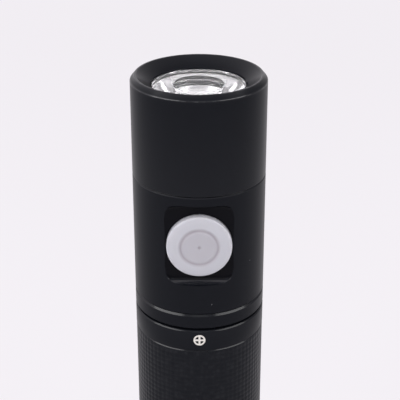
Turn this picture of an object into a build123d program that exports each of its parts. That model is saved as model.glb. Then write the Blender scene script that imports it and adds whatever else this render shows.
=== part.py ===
from build123d import *
import math
import os

# A pocket flashlight with a side switch, standing on its tail.
# Millimetres, +Z towards the lens, origin at the centre of the tail's flat face.
# The switch faces -Y. The barrel is built out from the cell and the optic inside it.

# Cell, and the walls around it that make the barrel's radius
cell_r = 9.2
cell_length = 65.0
cell_edge = 0.6
cell_clearance = 0.3
neck_wall = 1.3
thread_clearance = 0.08
mouth_wall = 1.47
terminal_r = 3.0
terminal_height = 1.4
terminal_edge = 0.3
insulator_gap = 0.5
insulator_border = 0.7
insulator_height = 0.5
insulator_clearance = 0.05
contact_gap = 0.1

# Fine turned edges of the barrel
seam_chamfer = 0.2
edge_chamfer = 0.3
mouth_chamfer = 0.4
v_line_offset = 3.03
v_line_half_width = 0.35
v_line_depth = 0.25
band_height = 4.48
grip_step = 0.12
head_gap = 0.4
tail_gap = 0.35
bezel_gap = 0.1

# Necks of the screw joints and the O-rings on them
neck_end_gap = 0.3
ring_groove_offset = 1.6
ring_groove_depth = 0.75
ring_groove_width = 1.3
o_ring_section_r = 0.38
o_ring_seat = 0.02
o_ring_sides = 6

# Tail cap, magnet, tail board and the ring that holds it
tail_cap_height = 16.0
tail_base_wall = 2.0
tail_edge_chamfer = 1.0
magnet_border = 2.6
magnet_height = 3.0
magnet_chamfer = 0.3
magnet_clearance = 0.06
tail_bay_step = 1.28
tail_board_thickness = 1.2
tail_ring_height = 1.5
tail_ring_width = 1.95
cap_step_gap = 0.2
lanyard_hole_r = 1.0
lanyard_border = 0.55
lanyard_window_width = 3.2
lanyard_window_height = 2.3

# Tail spring
spring_wire_r = 0.4
spring_ring_gap = 0.8
spring_taper = 2.2
spring_height = 5.6
spring_end_gap = 0.05
spring_turns = 3
spring_wire_sides = 6
spring_check_points = 36

# Clearances and spanner notches shared by boards and retaining rings
board_clearance = 0.2
ring_clearance = 0.05
ring_notch_width = 1.6
ring_notch_depth = 0.6

# Driver bay, with the driver board on a ring under a ledge
driver_bay_step = 1.28
driver_ledge = 0.6
driver_bay_margin = 0.95
driver_board_thickness = 1.2
driver_ring_height = 1.4
driver_ring_width = 2.15
housing_thread_depth = 6.4
post_height = 1.8
post_r = 2.0
post_flange_r = 3.0
post_flange_height = 0.4
post_edge = 0.4
inductor_side = 5.4
inductor_height = 3.0
inductor_edge_r = 0.9
inductor_place_shares = (-0.29, 0.4)
chip_side = 4.0
chip_height = 0.9
chip_place_shares = (0.37, 0.43)
capacitor_length = 2.0
capacitor_width = 1.2
capacitor_height = 1.2
capacitor_pitch = 2.4
capacitor_count = 3
capacitor_row_share = -0.155

# Side pocket in the switch housing
pocket_height = 15.9
pocket_depth = 1.73
pocket_corner_r = 3.3
pocket_floor_r = 1.5
pocket_margin = 1.7
pocket_rise = 0.26
switch_seat_margin = 0.3

# Push button
button_r = 5.92
button_clearance = 0.12
button_skirt = 1.12
button_side_height = 1.08
button_crown_height = 1.58
button_face_r = 3.7
button_cavity_r = 4.6
button_crown_wall = 1.0
button_nub_r = 1.5
button_nub_gap = 0.05
button_ring_r = 3.37
button_ring_width = 0.3
button_ring_depth = 0.12
button_dimple_r = 0.45
button_dimple_depth = 0.12

# Switch parts behind the pocket's wall
boot_wall = 1.2
switch_seat_border = 0.72
seat_clearance = 0.05
flange_gap = 0.3
flange_thickness = 0.85
flange_play = 0.07
switch_board_thickness = 1.0
switch_ring_width = 1.25
switch_ring_height = 1.0
tact_side = 4.5
tact_height = 1.6
plunger_r = 1.1
plunger_clearance = 0.05
plunger_sink = 0.6
plunger_proud = 0.7
plunger_travel = 0.5
indicator_offset = 3.6
indicator_length = 1.6
indicator_width = 0.8
indicator_height = 0.5
switch_lead_r = 0.35
switch_lead_place = 1.5
switch_lead_clearance = 0.6
switch_lead_reach = 2.2
switch_lead_bend_r = 1.0
lead_sides = 6

# Heat-sink shelf and the neck that carries the bezel
shelf_thickness = 5.5
board_recess_depth = 2.2
bezel_neck_height = 5.15
bezel_neck_wall = 1.67
board_recess_wall = 1.3
bezel_step_gap = 0.3

# LED and its board
led_board_thickness = 1.6
led_side = 3.45
led_height = 0.55
emitter_side = 2.2
emitter_height = 0.12
emitter_clearance = 0.03
dome_r = 1.7
lead_r = 0.5
lead_hole_clearance = 0.3
lead_border = 2.24
lead_angle = -20.7
lead_end_height = 0.4
screw_r = 0.8
screw_border = 2.1
screw_length = 3.2
screw_head_r = 1.1
screw_head_height = 0.9
screw_socket_r = 0.5
screw_socket_depth = 0.5
screw_socket_sides = 6
screw_clearance = 0.05
screw_end_gap = 0.2

# Optic, its seal and its holder
bezel_wall = 2.7
seal_shoulder = 0.95
optic_clearance = 0.1
boss_clearance = 0.2
optic_height = 11.59
optic_recess = 0.15
optic_flange_height = 0.8
optic_side_inset = 1.35
optic_foot_r = 3.3
optic_well_r = 4.6
optic_well_foot_r = 4.25
optic_well_depth = 3.6
optic_well_dome = 0.9
led_pit_r = 2.75
led_pit_top_r = 2.45
led_pit_depth = 4.2
led_pit_dome = 0.9
seal_play = 0.045
holder_clearance = 0.1
holder_wall = 0.8
holder_hole_r = 3.05
holder_screw_gap = 0.3
holder_boss_wall = 0.6
holder_boss_height = 1.5
holder_floor = 0.8
holder_seat_height = 0.75

# Bezel lip and funnel
lip_wall = 1.05
funnel_depth = 1.81
rim_chamfer_width = 0.79
rim_chamfer_height = 0.95
rim_land = 0.28

# One overrun serves every cut
overrun = 1.0

# Radii that follow from the cell outwards
bore_r = cell_r + cell_clearance
neck_r = bore_r + neck_wall
thread_bore_r = neck_r + thread_clearance
barrel_r = thread_bore_r + mouth_wall
grip_r = barrel_r - grip_step
neck_groove_r = neck_r - ring_groove_depth
driver_bay_r = thread_bore_r - driver_bay_step
cavity_r = driver_bay_r - driver_ledge
tail_bay_r = thread_bore_r - tail_bay_step
magnet_r = tail_bay_r - magnet_border
tail_ring_inner_r = tail_bay_r - ring_clearance - tail_ring_width
spring_foot_r = tail_ring_inner_r - spring_ring_gap - spring_wire_r
spring_top_r = spring_foot_r - spring_taper
lanyard_hole_y = barrel_r - tail_edge_chamfer - lanyard_border - lanyard_hole_r
bezel_bore_r = barrel_r - bezel_neck_wall
bezel_neck_r = bezel_bore_r - thread_clearance
board_recess_r = bezel_neck_r - board_recess_wall
optic_bore_r = barrel_r - bezel_wall
aperture_r = optic_bore_r - seal_shoulder
optic_flange_r = optic_bore_r - optic_clearance
optic_boss_r = aperture_r - boss_clearance
optic_side_r = optic_flange_r - optic_side_inset
holder_r = board_recess_r - holder_clearance
magnet_pocket_r = magnet_r + magnet_clearance
switch_seat_r = button_r + switch_seat_border
switch_stack_r = switch_seat_r - seat_clearance
lead_hole_r = lead_r + lead_hole_clearance
lead_ring_r = board_recess_r - lead_border
screw_ring_r = board_recess_r - screw_border
holder_boss_r = screw_ring_r - screw_head_r - holder_screw_gap
holder_seat_r = holder_boss_r - holder_boss_wall
screw_hole_r = screw_r + screw_clearance

# Levels in the tail
z_tail_board = tail_base_wall + magnet_height
z_tail_ring = z_tail_board + tail_board_thickness
z_cap_step = z_tail_ring + tail_ring_height + cap_step_gap
z_tube_foot = tail_cap_height + tail_gap
z_cell_foot = z_tail_ring + spring_height

# Levels from the cell's plus end to the housing
z_cell_top = z_cell_foot + cell_length
z_terminal_top = z_cell_top + terminal_height
z_post_tip = z_terminal_top + contact_gap
z_driver_board = z_post_tip + post_height
z_driver_top = z_driver_board + driver_board_thickness
z_driver_ring = z_driver_board - driver_ring_height
z_housing_step = z_driver_ring - driver_bay_margin
z_housing_foot = z_housing_step - housing_thread_depth
z_tube_top = z_housing_foot - head_gap

# Levels of the switch and the housing's top
z_switch = z_driver_top + switch_seat_margin + switch_seat_r
z_housing_top = z_switch + pocket_rise + pocket_height / 2 + pocket_margin
z_neck_top = z_housing_top + bezel_neck_height
z_shelf_top = z_neck_top - board_recess_depth
z_shelf_foot = z_shelf_top - shelf_thickness
z_led_board_top = z_shelf_top + led_board_thickness
z_led_top = z_led_board_top + led_height

# Levels of the optic and the bezel
z_bezel_foot = z_housing_top + bezel_gap
z_bezel_step = z_neck_top + bezel_step_gap
z_optic_foot = z_led_board_top + holder_seat_height
z_optic_front = z_optic_foot + optic_height
z_aperture = z_optic_front + optic_recess
z_shoulder = z_aperture - lip_wall
z_nose = z_aperture + funnel_depth
seal_section_r = (optic_flange_r - optic_boss_r) / 2 - seal_play
seal_r = (optic_flange_r + optic_boss_r) / 2
z_seal = z_shoulder - seal_section_r - seal_play
z_flange_top = z_seal - seal_section_r - seal_play
z_flange_foot = z_flange_top - optic_flange_height

# Distances of the switch parts from the barrel's axis, outwards
pocket_floor = barrel_r - pocket_depth
pocket_half = math.sqrt(barrel_r**2 - pocket_floor**2)
seat_plane = pocket_floor - boot_wall
board_front = seat_plane - flange_thickness - flange_play
board_back = board_front - switch_board_thickness
tact_top = board_front + tact_height
button_foot = pocket_floor - button_skirt
button_crown = pocket_floor + button_crown_height
button_ceiling = button_crown - button_crown_wall

# The switch's own frame: local Z points out of the pocket, local Y is up
switch_frame = Plane(origin=(0, 0, z_switch), x_dir=(1, 0, 0), z_dir=(0, -1, 0))


def turned(outline):
    """A solid of revolution from a closed outline of (radius, height) points."""
    return revolve(Plane.XZ * make_face(Polyline(*outline, close=True)), Axis.Z)


def disc(radius, foot, top):
    """A plain disc about the vertical axis between two levels."""
    return Pos(0, 0, foot) * extrude(Circle(radius), top - foot)


def tube_ring(outer, inner, foot, top):
    """A plain ring about the vertical axis between two levels."""
    return Pos(0, 0, foot) * extrude(Circle(outer) - Circle(inner), top - foot)


def block(width, depth, height, place, foot):
    """A plain block on a level, centred at a place."""
    return Pos(place[0], place[1], foot) * extrude(Rectangle(width, depth), height)


def o_ring(radius, level, section_r):
    """A seal ring whose section is a small polygon."""
    section = RegularPolygon(section_r, o_ring_sides)
    return revolve(Plane.XZ * Pos(radius, level) * section, Axis.Z)


def neck_o_ring(groove_r, level):
    """An O-ring that lies on the floor of a neck's groove."""
    return o_ring(groove_r + o_ring_seat + o_ring_section_r, level, o_ring_section_r)


def retaining_ring(outer, width, foot, top, notch_level):
    """A screwed ring with two spanner notches in the face at notch_level."""
    inner = outer - width
    ring = tube_ring(outer, inner, foot, top)
    for side in (-1, 1):
        place = (side * (outer + inner) / 2, 0)
        notch_foot = notch_level - ring_notch_depth
        ring -= block(2 * width, ring_notch_width, 2 * ring_notch_depth, place, notch_foot)
    return ring


def groove_points(neck_radius, floor_radius, level):
    """The four corners of an O-ring groove, from below."""
    low = level - ring_groove_width / 2
    high = level + ring_groove_width / 2
    return [(neck_radius, low), (floor_radius, low), (floor_radius, high), (neck_radius, high)]


def v_line_points(level):
    """A shallow turned V in the barrel's surface, from below."""
    return [
        (barrel_r, level - v_line_half_width),
        (barrel_r - v_line_depth, level),
        (barrel_r, level + v_line_half_width),
    ]


def bezel():
    """The sleeve around the optic, with its chamfered lip and funnel."""
    crest_r = barrel_r - rim_chamfer_width
    outline = [
        (bezel_bore_r, z_bezel_foot),
        (barrel_r - seam_chamfer, z_bezel_foot),
        (barrel_r, z_bezel_foot + seam_chamfer),
        (barrel_r, z_nose - rim_chamfer_height),
        (crest_r, z_nose),
        (crest_r - rim_land, z_nose),
        (aperture_r, z_aperture),
        (aperture_r, z_shoulder),
        (optic_bore_r, z_shoulder),
        (optic_bore_r, z_bezel_step),
        (bezel_bore_r, z_bezel_step),
    ]
    return turned(outline)


def lens_seal():
    """The O-ring between the optic's flange and the bezel's shoulder."""
    return o_ring(seal_r, z_seal, seal_section_r)


def tir_optic():
    """The clear collimator: a parabolic side, a pit over the LED and a well in front."""
    rise = z_flange_foot - z_optic_foot
    bend_r = (optic_foot_r + optic_side_r) / 2
    slope = 2 * optic_foot_r * rise / (optic_side_r**2 - optic_foot_r**2)
    bend = (bend_r, z_optic_foot + (bend_r - optic_foot_r) * slope)
    pit_edge = (led_pit_top_r, z_optic_foot + led_pit_depth)
    pit_apex = (0, pit_edge[1] - led_pit_dome)
    well_edge = (optic_well_foot_r, z_optic_front - optic_well_depth)
    well_apex = (0, well_edge[1] + optic_well_dome)
    foot = (optic_foot_r, z_optic_foot)
    side = (optic_side_r, z_flange_foot)
    rim = [
        side,
        (optic_flange_r, z_flange_foot),
        (optic_flange_r, z_flange_top),
        (optic_boss_r, z_flange_top),
        (optic_boss_r, z_optic_front),
        (optic_well_r, z_optic_front),
        well_edge,
    ]
    outline = TangentArc(pit_apex, pit_edge, tangent=(1, 0))
    outline += Polyline(pit_edge, (led_pit_r, z_optic_foot), foot)
    outline += Bezier(foot, bend, side)
    outline += Polyline(*rim)
    outline += TangentArc(well_apex, well_edge, tangent=(1, 0))
    outline += Line(well_apex, pit_apex)
    return revolve(Plane.XZ * make_face(outline), Axis.Z)


def optic_holder():
    """The cup that stands on the LED board and carries the optic's foot and flange."""
    floor_foot = z_led_board_top + holder_boss_height
    floor_top = floor_foot + holder_floor
    return turned([
        (holder_hole_r, z_led_board_top),
        (holder_boss_r, z_led_board_top),
        (holder_boss_r, floor_foot),
        (holder_r, floor_foot),
        (holder_r, z_flange_foot),
        (holder_r - holder_wall, z_flange_foot),
        (holder_r - holder_wall, floor_top),
        (holder_seat_r, floor_top),
        (holder_seat_r, z_optic_foot),
        (holder_hole_r, z_optic_foot),
    ])


def led_package():
    """The LED's ceramic base."""
    return block(led_side, led_side, led_height, (0, 0), z_led_board_top)


def led_emitter():
    """The phosphor die on the ceramic base."""
    return block(emitter_side, emitter_side, emitter_height, (0, 0), z_led_top)


def led_dome():
    """The clear dome moulded over the die."""
    dome = Pos(0, 0, z_led_top) * Sphere(dome_r)
    room_side = emitter_side + 2 * emitter_clearance
    room_height = emitter_height + emitter_clearance
    dome -= disc(dome_r + overrun, z_led_top - dome_r - overrun, z_led_top)
    return dome - block(room_side, room_side, 2 * room_height, (0, 0), z_led_top - room_height)


def lead_places():
    """Where the two LED leads pass the shelf and the LED board."""
    angle = math.radians(lead_angle)
    return [(side * lead_ring_r * math.cos(angle), lead_ring_r * math.sin(angle)) for side in (-1, 1)]


def screw_places():
    """Where the two screws of the LED board stand."""
    return [(0, side * screw_ring_r) for side in (-1, 1)]


def drilled(body, places, radius, foot, top):
    """The body with a round hole at each place between two levels."""
    for place in places:
        body -= Pos(place[0], place[1], 0) * disc(radius, foot, top)
    return body


def led_board():
    """The copper board under the LED, with its lead and screw holes."""
    board = disc(board_recess_r - board_clearance, z_shelf_top, z_led_board_top)
    foot = z_shelf_top - overrun
    top = z_led_board_top + overrun
    board = drilled(board, lead_places(), lead_hole_r, foot, top)
    return drilled(board, screw_places(), screw_hole_r, foot, top)


def led_board_screws():
    """The two socket screws that hold the LED board down."""
    screws = []
    for place in screw_places():
        shank_foot = z_led_board_top - screw_length
        head_top = z_led_board_top + screw_head_height
        screw = disc(screw_r, shank_foot, z_led_board_top) + disc(screw_head_r, z_led_board_top, head_top)
        hexagon = RegularPolygon(screw_socket_r, screw_socket_sides)
        socket = extrude(hexagon, screw_socket_depth + overrun)
        screw -= Pos(0, 0, head_top - screw_socket_depth) * socket
        screws.append(Pos(place[0], place[1], 0) * screw)
    return Compound(children=screws)


def led_leads():
    """The two straight leads from the driver up to the LED board."""
    leads = []
    lead_top = z_led_board_top + lead_end_height
    for place in lead_places():
        leads.append(Pos(place[0], place[1], 0) * disc(lead_r, z_driver_top, lead_top))
    return Compound(children=leads)


def pocket_tool():
    """The cutter of the side pocket: its floor ends at the barrel's sides, with a fillet round it."""
    plan = RectangleRounded(2 * (pocket_half + pocket_floor_r), pocket_height, pocket_corner_r)
    plug = Pos(0, pocket_rise, pocket_floor) * extrude(plan, pocket_depth + overrun)
    plug = fillet(plug.edges().group_by(Axis.Z)[0], pocket_floor_r)
    return switch_frame * plug


def switch_housing():
    """The turned housing with its bores, its pocket and the seat of the switch."""
    outline = [(0, z_housing_foot), (barrel_r - edge_chamfer, z_housing_foot)]
    outline += [(barrel_r, z_housing_foot + edge_chamfer)]
    outline += v_line_points(z_housing_foot + v_line_offset)
    outline += [(barrel_r, z_housing_top - seam_chamfer), (barrel_r - seam_chamfer, z_housing_top)]
    outline += [(bezel_neck_r, z_housing_top)]
    groove_floor_r = bezel_neck_r - ring_groove_depth
    outline += groove_points(bezel_neck_r, groove_floor_r, z_housing_top + ring_groove_offset)
    outline += [(bezel_neck_r, z_neck_top - edge_chamfer), (bezel_neck_r - edge_chamfer, z_neck_top)]
    outline += [(0, z_neck_top)]
    bores = [
        (0, z_housing_foot - overrun),
        (thread_bore_r + mouth_chamfer + overrun, z_housing_foot - overrun),
        (thread_bore_r, z_housing_foot + mouth_chamfer),
        (thread_bore_r, z_housing_step),
        (driver_bay_r, z_housing_step),
        (driver_bay_r, z_driver_top),
        (cavity_r, z_driver_top),
        (cavity_r, z_shelf_foot),
        (0, z_shelf_foot),
    ]
    housing = turned(outline) - turned(bores)
    housing -= disc(board_recess_r, z_shelf_top, z_neck_top + overrun)
    housing = drilled(housing, lead_places(), lead_hole_r, z_shelf_foot - overrun, z_shelf_top + overrun)
    screw_foot = z_led_board_top - screw_length - screw_end_gap
    housing = drilled(housing, screw_places(), screw_hole_r, screw_foot, z_shelf_top + overrun)
    housing -= pocket_tool()
    housing -= switch_frame * disc(switch_seat_r, 0, seat_plane)
    housing -= switch_frame * disc(button_r + button_clearance, 0, pocket_floor + overrun)
    return housing


def bezel_o_ring():
    """The O-ring between the housing's neck and the bezel."""
    return neck_o_ring(bezel_neck_r - ring_groove_depth, z_housing_top + ring_groove_offset)


def switch_button():
    """The round button: a hollow cap with a soft edge, a fine ring and a centre dimple."""
    side_top = (button_r, pocket_floor + button_side_height)
    face_edge = (button_face_r, button_crown)
    ring_outer = button_ring_r + button_ring_width / 2
    ring_inner = button_ring_r - button_ring_width / 2
    nub_tip = tact_top + plunger_proud + button_nub_gap
    outline = Polyline(
        (0, nub_tip),
        (button_nub_r, nub_tip),
        (button_nub_r, button_ceiling),
        (button_cavity_r, button_ceiling),
        (button_cavity_r, button_foot),
        (button_r, button_foot),
        side_top,
    )
    outline += TangentArc(face_edge, side_top, tangent=(1, 0))
    outline += Polyline(
        face_edge,
        (ring_outer, button_crown),
        (button_ring_r, button_crown - button_ring_depth),
        (ring_inner, button_crown),
        (button_dimple_r, button_crown),
        (0, button_crown - button_dimple_depth),
        (0, nub_tip),
    )
    return switch_frame * revolve(Plane.XZ * make_face(outline), Axis.Z)


def button_flange():
    """The clamped rim of the button's boot, against the seat."""
    foot = seat_plane - flange_thickness
    return switch_frame * tube_ring(switch_stack_r, button_r + flange_gap, foot, seat_plane)


def switch_board():
    """The round board behind the button."""
    return switch_frame * disc(switch_stack_r, board_back, board_front)


def switch_retainer():
    """The ring that holds the switch board in its seat."""
    foot = board_back - switch_ring_height
    return switch_frame * retaining_ring(switch_stack_r, switch_ring_width, foot, board_back, foot)


def tact_switch():
    """The click switch's body with the well of its plunger."""
    body = block(tact_side, tact_side, tact_height, (0, 0), board_front)
    well_foot = tact_top - plunger_sink - plunger_travel - plunger_clearance
    return switch_frame * (body - disc(plunger_r + plunger_clearance, well_foot, tact_top + overrun))


def tact_plunger():
    """The plunger that the button's nub presses."""
    return switch_frame * disc(plunger_r, tact_top - plunger_sink, tact_top + plunger_proud)


def indicator_leds():
    """The two small lamps above and below the click switch."""
    lamps = []
    for side in (-1, 1):
        place = (0, side * indicator_offset)
        lamp = block(indicator_length, indicator_width, indicator_height, place, board_front)
        lamps.append(switch_frame * lamp)
    return Compound(children=lamps)


def switch_leads():
    """The two wires from the back of the switch board down to the driver."""
    leads = []
    ring_inner = switch_stack_r - switch_ring_width
    reach = ring_inner - switch_lead_clearance - switch_lead_r
    level = z_switch - math.sqrt(reach**2 - switch_lead_place**2)
    for side in (-1, 1):
        x = side * switch_lead_place
        corner_y = switch_lead_reach - board_back
        corners = [(x, -board_back, level), (x, corner_y, level), (x, corner_y, z_driver_top)]
        route = FilletPolyline(*corners, radius=switch_lead_bend_r)
        start = Plane(origin=(x, -board_back, level), z_dir=(0, 1, 0))
        section = start * RegularPolygon(switch_lead_r, lead_sides)
        leads.append(sweep(section, path=route))
    return Compound(children=leads)


def driver_board():
    """The driver's round board under the housing's ledge."""
    return disc(driver_bay_r - board_clearance, z_driver_board, z_driver_top)


def driver_retainer():
    """The screwed ring that holds the driver board up."""
    outer = driver_bay_r - ring_clearance
    return retaining_ring(outer, driver_ring_width, z_driver_ring, z_driver_board, z_driver_ring)


def driver_inductor():
    """The moulded power inductor."""
    x_share, y_share = inductor_place_shares
    base = Pos(x_share * cavity_r, y_share * cavity_r, z_driver_top)
    return base * extrude(RectangleRounded(inductor_side, inductor_side, inductor_edge_r), inductor_height)


def driver_chip():
    """The driver's control chip."""
    place = [share * cavity_r for share in chip_place_shares]
    return block(chip_side, chip_side, chip_height, place, z_driver_top)


def driver_capacitors():
    """A row of capacitors on the driver board."""
    row = []
    for index in range(capacitor_count):
        x = (index - (capacitor_count - 1) / 2) * capacitor_pitch
        place = (x, capacitor_row_share * cavity_r)
        row.append(block(capacitor_width, capacitor_length, capacitor_height, place, z_driver_top))
    return Compound(children=row)


def contact_post():
    """The turned brass contact that touches the cell's plus end."""
    flange_foot = z_driver_board - post_flange_height
    outline = [
        (0, z_post_tip),
        (post_r - post_edge, z_post_tip),
        (post_r, z_post_tip + post_edge),
        (post_r, flange_foot),
        (post_flange_r, flange_foot),
        (post_flange_r, z_driver_board),
        (0, z_driver_board),
    ]
    return turned(outline)


def battery_tube():
    """The body tube, with a threaded neck and an O-ring groove at each end."""
    neck_foot = z_cap_step + neck_end_gap
    neck_top = z_housing_step - neck_end_gap
    grip_foot = z_tube_foot + band_height
    grip_top = z_tube_top - band_height
    outline = [(bore_r, neck_foot), (neck_r - edge_chamfer, neck_foot), (neck_r, neck_foot + edge_chamfer)]
    outline += groove_points(neck_r, neck_groove_r, z_tube_foot - ring_groove_offset)
    outline += [(neck_r, z_tube_foot), (barrel_r - edge_chamfer, z_tube_foot)]
    outline += [(barrel_r, z_tube_foot + edge_chamfer), (barrel_r, grip_foot)]
    outline += [(grip_r, grip_foot + grip_step), (grip_r, grip_top - grip_step), (barrel_r, grip_top)]
    outline += [(barrel_r, z_tube_top - edge_chamfer), (barrel_r - edge_chamfer, z_tube_top)]
    outline += [(neck_r, z_tube_top)]
    outline += groove_points(neck_r, neck_groove_r, z_tube_top + ring_groove_offset)
    outline += [(neck_r, neck_top - edge_chamfer), (neck_r - edge_chamfer, neck_top), (bore_r, neck_top)]
    return turned(outline)


def head_o_ring():
    """The O-ring on the tube's upper neck."""
    return neck_o_ring(neck_groove_r, z_tube_top + ring_groove_offset)


def tail_o_ring():
    """The O-ring on the tube's lower neck."""
    return neck_o_ring(neck_groove_r, z_tube_foot - ring_groove_offset)


def cell_can():
    """The cell's can, with the recess of the insulator ring at its plus end."""
    recess_foot = z_cell_top - insulator_height
    recess_r = cell_r - insulator_border
    crimp = insulator_border / 2
    return turned([
        (0, z_cell_foot),
        (cell_r - cell_edge, z_cell_foot),
        (cell_r, z_cell_foot + cell_edge),
        (cell_r, z_cell_top - crimp),
        (cell_r - crimp, z_cell_top),
        (recess_r, z_cell_top),
        (recess_r, recess_foot),
        (0, recess_foot),
    ])


def cell_insulator():
    """The insulator ring around the plus terminal."""
    outer = cell_r - insulator_border - insulator_clearance
    return tube_ring(outer, terminal_r + insulator_gap, z_cell_top - insulator_height, z_cell_top)


def cell_terminal():
    """The cell's raised plus terminal."""
    foot = z_cell_top - insulator_height
    return turned([
        (0, foot),
        (terminal_r, foot),
        (terminal_r, z_terminal_top - terminal_edge),
        (terminal_r - terminal_edge, z_terminal_top),
        (0, z_terminal_top),
    ])


def tail_cap():
    """The tail cap with its magnet pocket, board bay, thread bore and lanyard hole."""
    outline = [
        (0, 0),
        (barrel_r - tail_edge_chamfer, 0),
        (barrel_r, tail_edge_chamfer),
    ]
    outline += v_line_points(tail_cap_height - v_line_offset)
    outline += [
        (barrel_r, tail_cap_height - edge_chamfer),
        (barrel_r - edge_chamfer, tail_cap_height),
        (thread_bore_r + mouth_chamfer, tail_cap_height),
        (thread_bore_r, tail_cap_height - mouth_chamfer),
        (thread_bore_r, z_cap_step),
        (tail_bay_r, z_cap_step),
        (tail_bay_r, z_tail_board),
        (magnet_pocket_r, z_tail_board),
        (magnet_pocket_r, tail_base_wall),
        (0, tail_base_wall),
    ]
    cap = turned(outline)
    window_middle = tail_base_wall + lanyard_window_height / 2
    cap -= Pos(0, lanyard_hole_y, 0) * disc(lanyard_hole_r, -overrun, window_middle)
    window = SlotOverall(lanyard_window_width, lanyard_window_height)
    start_y = lanyard_hole_y - lanyard_hole_r
    window_plane = Plane(origin=(0, start_y, window_middle), x_dir=(1, 0, 0), z_dir=(0, 1, 0))
    return cap - window_plane * extrude(window, barrel_r + overrun - start_y)


def tail_magnet():
    """The round magnet in the tail cap's base."""
    foot = (magnet_r, tail_base_wall)
    top = (magnet_r, z_tail_board)
    return turned([
        (0, tail_base_wall),
        (foot[0] - magnet_chamfer, foot[1]),
        (foot[0], foot[1] + magnet_chamfer),
        (top[0], top[1] - magnet_chamfer),
        (top[0] - magnet_chamfer, top[1]),
        (0, z_tail_board),
    ])


def tail_board():
    """The contact board on the magnet."""
    return disc(tail_bay_r - board_clearance, z_tail_board, z_tail_ring)


def tail_retainer():
    """The screwed ring that holds the tail board down."""
    outer = tail_bay_r - ring_clearance
    top = z_tail_ring + tail_ring_height
    return retaining_ring(outer, tail_ring_width, z_tail_ring, top, top)


def tail_spring():
    """The conical coil spring that presses on the cell's minus end."""
    height = spring_height - spring_end_gap - 2 * spring_wire_r
    taper = math.degrees(math.atan2(spring_foot_r - spring_top_r, height))
    start = z_tail_ring + spring_wire_r
    route = Pos(0, 0, start) * Helix(height / spring_turns, height, spring_foot_r, cone_angle=-taper)
    section = Plane(origin=route @ 0, z_dir=route % 0) * RegularPolygon(spring_wire_r, spring_wire_sides)
    return sweep(section, path=route, is_frenet=True)


def spring_self_gap():
    """The least distance between one turn of the spring's wire and the next, on points."""
    height = spring_height - spring_end_gap - 2 * spring_wire_r
    steps = spring_check_points * spring_turns
    points = []
    for step in range(steps + 1):
        share = step / steps
        radius = spring_foot_r + (spring_top_r - spring_foot_r) * share
        angle = 2 * math.pi * spring_turns * share
        points.append((radius * math.cos(angle), radius * math.sin(angle), height * share))
    least = height
    for first in range(steps + 1):
        for second in range(first + spring_check_points // 2, steps + 1):
            least = min(least, math.dist(points[first], points[second]))
    return least - 2 * spring_wire_r


PIECES = [
    bezel,
    lens_seal,
    tir_optic,
    optic_holder,
    led_dome,
    led_emitter,
    led_package,
    led_board,
    led_board_screws,
    bezel_o_ring,
    switch_housing,
    switch_button,
    button_flange,
    switch_board,
    tact_switch,
    tact_plunger,
    indicator_leds,
    switch_retainer,
    switch_leads,
    led_leads,
    driver_board,
    driver_inductor,
    driver_chip,
    driver_capacitors,
    driver_retainer,
    contact_post,
    battery_tube,
    head_o_ring,
    tail_o_ring,
    cell_can,
    cell_insulator,
    cell_terminal,
    tail_cap,
    tail_magnet,
    tail_board,
    tail_spring,
    tail_retainer,
]

os.makedirs("parts", exist_ok=True)
for piece in PIECES:
    export_step(piece(), os.path.join("parts", piece.__name__ + ".step"))

print("overall length", round(z_nose, 2), "mm, barrel diameter", round(2 * barrel_r, 2), "mm")
print("least gap between the spring's turns", round(spring_self_gap(), 2), "mm")
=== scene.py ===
"""Looks of a pocket flashlight with a side switch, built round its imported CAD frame.

Lengths are in millimetres while a shape is worked out, and become metres when its mesh is made.
"""

import logging
import math
from dataclasses import dataclass, field
from enum import Enum

import bmesh
import bpy
import numpy as np
from mathutils import Matrix, Vector


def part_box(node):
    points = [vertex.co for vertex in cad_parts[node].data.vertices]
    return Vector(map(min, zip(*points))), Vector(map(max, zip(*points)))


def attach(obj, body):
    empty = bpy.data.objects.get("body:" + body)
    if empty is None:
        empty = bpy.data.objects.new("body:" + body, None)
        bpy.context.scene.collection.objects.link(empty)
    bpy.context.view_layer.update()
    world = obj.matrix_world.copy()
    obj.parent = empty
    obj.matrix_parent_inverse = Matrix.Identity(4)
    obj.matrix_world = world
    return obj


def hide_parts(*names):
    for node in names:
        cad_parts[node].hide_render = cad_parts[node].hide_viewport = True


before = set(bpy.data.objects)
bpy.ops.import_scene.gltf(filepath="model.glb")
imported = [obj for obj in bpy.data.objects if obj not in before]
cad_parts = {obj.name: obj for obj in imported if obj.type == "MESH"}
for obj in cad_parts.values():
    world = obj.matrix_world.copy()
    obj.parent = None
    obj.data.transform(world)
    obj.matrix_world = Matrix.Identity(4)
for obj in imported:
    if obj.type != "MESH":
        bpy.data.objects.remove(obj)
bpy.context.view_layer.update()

MM = 0.001
LOG = logging.getLogger("flashlight")

# Shares of a side that a rounded corner and its margin may take
TRIM_SHARE = 0.45
MARGIN_SHARE = 0.48

# Metres within which doubles are merged, on a copied solid and on a turned piece's axis
CAD_WELD = 1e-6
POLE_WELD = 1e-7

# How near the barrel's surface, in millimetres, and how squarely outward a face on it is
ON_BARREL = 0.02
BARREL_FACING = 0.995

# Seal rings: the share of the section that the ring stays inside its space, and its points
SEAL_SLACK = 0.01
SEAL_SIDES = 20
SEAL_SEGMENTS = 160

Array = np.ndarray
Colour = tuple[float, float, float]
Point = tuple[float, float]
Span = tuple[float, float]
Dust = tuple[float, float, float]
Place = tuple[float, float, float]
Object = bpy.types.Object
Mesh = bpy.types.Mesh
Material = bpy.types.Material
Materials = dict[str, Material]
Tree = bpy.types.NodeTree
Node = bpy.types.Node
Socket = bpy.types.NodeSocket
Outputs = bpy.types.NodeOutputs


class Body(Enum):
    """The bodies of the frame that new pieces ride on."""

    TUBE = "tube"
    HEAD = "head"
    BUTTON = "button"
    TAIL = "tail"


# Surfaces


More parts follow.
